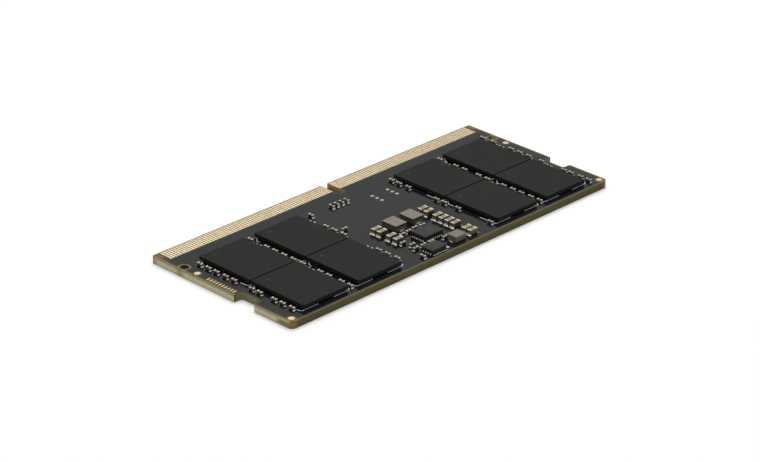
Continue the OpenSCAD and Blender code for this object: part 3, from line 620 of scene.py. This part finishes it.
# Small and large capacitors. Fired layers of ceramic with rounded edges, painted pale on top and
# brown at the sides as painted light and shade, and a dipped metal end at each side, plated with tin
# whose upright faces are painted darker, a painted shade.
def parts_of(node):
    """Middle, turn and size of each solid of a node: the turn is 90 degrees where Y is the longer."""
    low, high = (corners / MM for corners in solid_boxes(node))
    size = high - low
    along_y = size[:, 1] > size[:, 0]
    places = np.stack([(low[:, 0] + high[:, 0]) / 2, (low[:, 1] + high[:, 1]) / 2, low[:, 2]], axis=1)
    length = np.where(along_y, size[:, 1], size[:, 0])
    width = np.where(along_y, size[:, 0], size[:, 1])
    return places, np.where(along_y, 90.0, 0.0), length[0], width[0], size[0, 2]


# In mm: the board's upper face, on which the printed marks lie, and the metal's wall on a chip part
board_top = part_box("printed_brackets")[0][2] / MM
end_wall = 0.03


def standing_parts(node):
    """The same as parts_of, with each place moved down to the board's upper face."""
    places, turns, length, width, height = parts_of(node)
    places[:, 2] = board_top
    return places, turns, length, width, height


def chip_part(length, width, height, cup, corner):
    """Body and ends of a chip part along X, standing on z = 0, from the size of its bare body. The
    metal's wall adds to that size all round. Each end is a cup whose outer edges are rounded off."""
    length, width, height = length + 2 * end_wall, width + 2 * end_wall, height + 2 * end_wall
    lift = np.array([0.0, 0.0, height / 2])
    half = length / 2
    body_points, body_faces = carried_profile(
        [(end_wall, -half + 2 * end_wall), (end_wall, half - 2 * end_wall)],
        width / 2, height / 2, corner + end_wall, steps=2)
    rounding = corner * (1 - np.cos(np.radians([0, 45, 90])))
    reach = half - corner + corner * np.sin(np.radians([0, 45, 90]))
    cup_profile = [(end_wall * 0.8, half - cup), (0.0, half - cup + end_wall * 1.3)]
    cup_profile += list(zip(rounding, reach))
    cup_points, cup_faces = carried_profile(cup_profile, width / 2, height / 2, corner, steps=2)
    ends = copies(cup_points, cup_faces, np.zeros((2, 3)), np.array([0.0, 180.0]))
    return (body_points + lift, body_faces), (ends[0] + lift, ends[1])


far_strip = 3.5 * MM


def in_far_strip(place_y):
    """1 in the strip beside the board's far edge, and 0 further in."""
    return range_of(place_y, board_high[1] - far_strip - 0.1 * MM, board_high[1] - far_strip)


def fired_ceramic(name, top, side, far_side):
    """A ceramic whose colour goes from side to top as it faces up: painted light on the top and
    painted shade on the sides. The top's tint goes from greenish to reddish from part to part. In the
    far strip the sides take the far colour."""
    material, shader = make_material(name, top, 0.5, specular=0.35)
    place, at, facing = coordinates(material)
    batch = add_grain(material, (1.2, 1.2, 9.0), 0.2, place)
    grain = add_grain(material, 0.06, 0.3, place)
    greenish, reddish = (tuple(np.array(top) * tint) for tint in ((0.9, 0.99, 0.93), (1.05, 0.97, 1.0)))
    colour = layered(
        mix_colours(in_far_strip(at["Y"]), side, far_side),
        (range_of(facing["Z"], 0.4, 0.8), mix_colours(range_of(batch, 0.42, 0.58), greenish, reddish)),
        (math_of("MULTIPLY", batch, 0.25), paint(96, 74, 44)),
        (math_of("MULTIPLY", grain, 0.25), paint(70, 56, 40)))
    join(colour, shader, "Base Color")
    add_relief(shader, grain, 0.005)
    return material


small_ceramic = fired_ceramic("small_ceramic", paint(126, 122, 113), paint(64, 54, 44), paint(64, 54, 44))
large_ceramic = fired_ceramic("large_ceramic", paint(155, 145, 121), paint(76, 57, 33), paint(134, 98, 42))

tin, tin_shader = make_material("satin_tin", (0.8, 0.78, 0.72), 0.4, metallic=1.0)
tin_place, _, tin_facing = coordinates(tin)
tin_grain = add_grain(tin, 0.08, 0.3, tin_place)
# Painted shade: the tin's upright faces take a darker colour than its upward faces, and less metal
tin_up = mix_colours(tin_grain, (0.43, 0.404, 0.358), (0.65, 0.62, 0.56))
shaded_tin_side = mix_colours(tin_grain, (0.115, 0.093, 0.066), (0.205, 0.178, 0.14))
tin_upward = range_of(tin_facing["Z"], 0.4, 0.9)
join(mix_colours(tin_upward, shaded_tin_side, tin_up), tin_shader, "Base Color")
join(range_of(tin_upward, 0, 1, 0.3, 0.9), tin_shader, "Metallic")
join(range_of(tin_grain, 0, 1, 0.34, 0.5), tin_shader, "Roughness")
add_relief(tin_shader, tin_grain, 0.005)


def metal_length(node):
    """Length of a node's metal ends: the shortest side of their boxes, seen from above."""
    low, high = (corners / MM for corners in solid_boxes(node))
    size = high - low
    return size[:, :2].min()


def fit_chip_parts(name, ceramic, corner):
    """Both pieces of one kind of chip part at the places of its CAD bodies: ceramics and metal ends."""
    places, turns, length, width, height = standing_parts(f"{name}_bodies")
    body, ends = chip_part(length, width, height, metal_length(f"{name}_terminals"), corner)
    make_piece(f"{name}_ceramics", copies(*body, places, turns), ceramic, [f"{name}_bodies"])
    make_piece(f"{name}_ends", copies(*ends, places, turns), tin, [f"{name}_terminals"])


fit_chip_parts("small_capacitor", small_ceramic, corner=0.05)
fit_chip_parts("large_capacitor", large_ceramic, corner=0.07)


# Resistors. Dark grey-brown ceramic with a dark glass coat over the resistive film on top, and
# metal ends that wrap round both short sides. Four stand in a row near the contacts.
brown_ceramic = grained_material("brown_ceramic", paint(58, 53, 45), paint(88, 82, 70),
                                 grain_size=0.07, contrast=0.3, depth=0.004, roughness=0.5, specular=0.3)[0]
glaze = grained_material("dark_glaze", paint(54, 53, 48), paint(80, 79, 72),
                         grain_size=0.12, contrast=0.3, depth=0.004, roughness=0.3, specular=0.3)[0]
fit_chip_parts("resistor", brown_ceramic, corner=0.04)
places, turns, length, width, height = parts_of("resistor_coats")
coat_points, coat_faces = carried_profile([(0.0, 0.0), (0.0, height * 0.6), (height, height)],
                                          length / 2, width / 2, 0.06)
make_piece("resistor_glazes", copies(upright(coat_points), coat_faces, places, turns), glaze,
           ["resistor_coats"])


# Solder at the ends of the chip parts. It wets the metal end and the pad, and cools as a hollow
# slope that is widest at the pad and runs a little way round both sides of the end.
def meniscus(width, reach, side_reach, rise, side_rise, round_corner, wrap):
    """Solder round an end whose face lies at x = 0. The path runs along one side, round the corner,
    across the face and back. Square to it lies a hollow quarter arc: its distance is the reach times
    one less a sine, and its height is the rise times one less a cosine."""
    turn = np.radians([-90, -90, -60, -30, 0, 0, 30, 60, 90, 90])
    half = width / 2
    path_x = np.array([-wrap, -round_corner, 0, 0, 0, 0, 0, 0, -round_corner, -wrap])
    path_y = np.array([-half, -half, 0, 0, 0, 0, 0, 0, half, half])
    bend = slice(2, 5), slice(5, 8)
    for part, side in zip(bend, (-1, 1)):
        path_x[part] = -round_corner + round_corner * np.cos(turn[part])
        path_y[part] = side * (half - round_corner) + round_corner * np.sin(turn[part])
    end_share = np.cos(turn) ** 2
    outward = side_reach + (reach - side_reach) * end_share
    upward = side_rise + (rise - side_rise) * end_share
    arc = np.radians([0, 20, 45, 70, 90])
    under_metal = np.full((len(turn), 2), -0.03)
    away = np.concatenate([outward[:, None] * (1 - np.sin(arc)), under_metal], axis=1)
    height = np.concatenate([upward[:, None] * (1 - np.cos(arc)), upward[:, None],
                             np.zeros((len(turn), 1))], axis=1)
    points = np.stack([path_x[:, None] + away * np.cos(turn)[:, None],
                       path_y[:, None] + away * np.sin(turn)[:, None], height], axis=-1)
    # The path and the arc turn the other way than a carried outline does, so the faces are turned over
    faces = [np.roll(group[:, ::-1], 1, axis=1) for group in tube_faces(*points.shape[:2])]
    return np.concatenate([points.reshape(-1, 3), points[[0, -1]].mean(axis=1)]), faces


def both_ends(shape, half_length):
    """The same solder at both ends of a part of that half length along X."""
    points, faces = shape
    points = points + np.array([half_length, 0.0, 0.0])
    return copies(points, faces, np.zeros((2, 3)), np.array([0.0, 180.0]))


slopes = []
for node, reach, side_reach, share, wrap in (("large_capacitor_bodies", 0.24, 0.05, 0.4, 0.14),
                                             ("small_capacitor_bodies", 0.11, 0.03, 0.42, 0.08)):
    places, turns, length, width, height = standing_parts(node)
    rise = (height + 2 * end_wall) * share
    shape = meniscus(width + 2 * end_wall, reach, side_reach, rise, side_rise=rise * 0.4,
                     round_corner=0.05, wrap=wrap)
    slopes.append(copies(*both_ends(shape, length / 2 + end_wall), places, turns))
# The resistors stand in more solder at the end that faces the far edge than at the other
places, turns, length, width, height = standing_parts("resistor_bodies")
for turned_by, share in ((0.0, 0.85), (180.0, 0.35)):
    rise = height * share
    points, faces = meniscus(width + 2 * end_wall, reach=0.15, side_reach=0.05, rise=rise,
                             side_rise=rise * 0.4, round_corner=0.05, wrap=0.12)
    points = points + np.array([length / 2 + end_wall, 0.0, 0.0])
    slopes.append(copies(points, faces, places, turns + turned_by))
tab_low, tab_high = (corners / MM for corners in solid_boxes("inductor_terminals"))
tab_overhang = 0.3
for inductor in (1, 2, 3):
    low, high = (np.array(corner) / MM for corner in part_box(f"power_inductor_{inductor}"))
    middle = (low + high) / 2
    mine = np.all((tab_low[:, :2] > low[:2] - tab_overhang)
                  & (tab_high[:, :2] < high[:2] + tab_overhang), axis=1)
    own_low, own_high = tab_low[mine].min(axis=0), tab_high[mine].max(axis=0)
    tab_size = (tab_high - tab_low)[mine][0]
    along_x = high[0] - low[0] > high[1] - low[1]
    tab_width = tab_size[1] if along_x else tab_size[0]
    reach_half = (own_high - own_low)[0 if along_x else 1] / 2
    shape = meniscus(tab_width * 0.5, reach=0.1, side_reach=0.02, rise=tab_size[2] * 0.35,
                     side_rise=tab_size[2] * 0.2, round_corner=0.03, wrap=0.05)
    slope = both_ends(shape, reach_half)
    slopes.append(copies(*slope, np.array([[middle[0], middle[1], board_top]]),
                         np.array([0.0 if along_x else 90.0])))
make_piece("solder_slopes", joined(slopes), solder, ["solder_fillets"], sharp_angle=50.0)


# Leadless chips: the power controller and the hub. Moulded bodies sawn square, with a slight
# break on the upper edges. A bright nub of solder stands outside each pad under them.
def block_part(length, width, height, corner, bevel):
    """A standing block with round upright edges whose upper edges are cut off at 45 degrees."""
    points, faces = carried_profile([(0.0, 0.0), (0.0, height - bevel), (bevel * 0.3, height - bevel * 0.3),
                                     (bevel, height)], length / 2, width / 2, corner, steps=3)
    return upright(points), faces


controller_low, controller_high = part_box("power_controller")
chip_compound = mould_compound("chip_compound", paint(53, 53, 53), paint(64, 64, 63), paint(44, 43, 41),
                               paint(60, 58, 55), controller_low[2], controller_high[2])
white_solder = grained_material("white_solder", (0.7, 0.675, 0.62), (0.94, 0.92, 0.87),
                                grain_size=0.3, contrast=0.2, depth=0.005, roughness=0.45, metallic=0.35)[0]
nub = meniscus(width=0.17, reach=0.13, side_reach=0.02, rise=0.17, side_rise=0.1,
               round_corner=0.03, wrap=0.04)
pad_setback = 0.08
least_reach = 0.02
for chip in ("power_controller", "hub_chip"):
    low, high = (np.array(corner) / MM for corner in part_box(chip))
    size = high - low
    middle = (low + high) / 2
    chip_body = block_part(size[0], size[1], size[2], 0.04, 0.03)
    make_piece(f"{chip}_body", copies(*chip_body, np.array([[middle[0], middle[1], low[2]]]), np.zeros(1)),
               chip_compound, [chip])
    pad_low, pad_high = (corners / MM for corners in solid_boxes(f"{chip}_pads"))
    # Under the chip each pad is set back a little from the edge, where it lies in the dark
    under_low, under_high = np.maximum(pad_low, low + pad_setback), np.minimum(pad_high, high - pad_setback)
    pads = [copies(*block_part(last[0] - first[0], last[1] - first[1], low[2] - board_top, 0.03, 0.01),
                   np.array([[*(first[:2] + last[:2]) / 2, board_top]]), np.zeros(1))
            for first, last in zip(under_low, under_high)]
    pad_middle = (pad_low + pad_high) / 2 - middle
    # A pad that reaches out past a side of the chip has a nub there, turned to face outwards
    for axis, turn in ((0, 0.0), (1, 90.0)):
        for side in (1, -1):
            reach = pad_high[:, axis] - high[axis] if side > 0 else low[axis] - pad_low[:, axis]
            beyond = reach > least_reach
            nub_places = np.stack([pad_middle[beyond, 0] + middle[0], pad_middle[beyond, 1] + middle[1],
                                   np.full(beyond.sum(), board_top)], axis=1)
            nub_places[:, axis] = middle[axis] + side * size[axis] / 2
            nub_turns = np.full(beyond.sum(), turn + (0.0 if side > 0 else 180.0))
            pads.append(copies(*nub, nub_places, nub_turns))
    make_piece(f"{chip}_solder", joined(pads), white_solder, [f"{chip}_pads"], sharp_angle=50.0)


# Power inductors. Iron powder pressed round a coil and baked: grey-brown blocks with a sandy
# surface, rubbed on top, with crisp edges. The tops are painted paler and the upright sides darker,
# painted light and shade.
powder, powder_shader = make_material("pressed_iron_powder", paint(128, 119, 110), 0.6, specular=0.35)
powder_place, powder_at, powder_facing = coordinates(powder)
sand = add_grain(powder, 0.11, 0.16, powder_place)
rubbed = add_grain(powder, 0.7, 0.3, powder_place)
# A painted shadow: a thin dark line runs under the upper edge
under_top = math_of("SUBTRACT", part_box("power_inductor_1")[1][2], powder_at["Z"])
painted_shadow_line = math_of("MULTIPLY", range_of(under_top, 0.03 * MM, 0.08 * MM),
               range_of(under_top, 0.2 * MM, 0.3 * MM, 0.85, 0.0))
# The small inductor in the far strip has a greyer top and paler sides
far_powder = in_far_strip(powder_at["Y"])
powder_up = layered(
    mix_colours(sand, paint(90, 84, 74), paint(146, 137, 124)),
    (math_of("MULTIPLY", rubbed, 0.35), paint(150, 143, 131)),
    (math_of("MULTIPLY", far_powder, 0.6), mix_colours(sand, paint(84, 81, 73), paint(136, 132, 122))))
powder_side = layered(
    mix_colours(sand, paint(48, 39, 31), paint(98, 86, 70)),
    (painted_shadow_line, paint(34, 28, 22)),
    (far_powder, mix_colours(sand, paint(64, 57, 48), paint(118, 109, 96))))
# Painted light and shade: upward faces take the paler colour, upright sides the darker one
powder_upward = range_of(powder_facing["Z"], 0.3, 0.8)
join(mix_colours(powder_upward, powder_side, powder_up), powder_shader, "Base Color")
add_relief(powder_shader, sand, 0.012)
for inductor in (1, 2, 3):
    low, high = (np.array(corner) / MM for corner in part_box(f"power_inductor_{inductor}"))
    size = high - low
    block_profile = [(0.04, 0.0), (0.0, 0.04), (0.0, size[2] - 0.05),
                     (0.015, size[2] - 0.015), (0.05, size[2])]
    points, faces = carried_profile(block_profile, size[0] / 2, size[1] / 2, 0.15, steps=4)
    place = np.array([[(low[0] + high[0]) / 2, (low[1] + high[1]) / 2, low[2]]])
    block = copies(upright(points), faces, place, np.zeros(1))
    make_piece(f"power_inductor_{inductor}_block", block, powder,
               [f"power_inductor_{inductor}"])
# Their tin terminals are dull with flux
dull_tin = grained_material("dull_tin", (0.09, 0.078, 0.064), (0.3, 0.27, 0.235),
                            grain_size=0.12, contrast=0.2, depth=0.006, roughness=0.55, metallic=0.3)[0]
dress("inductor_terminals", dull_tin)
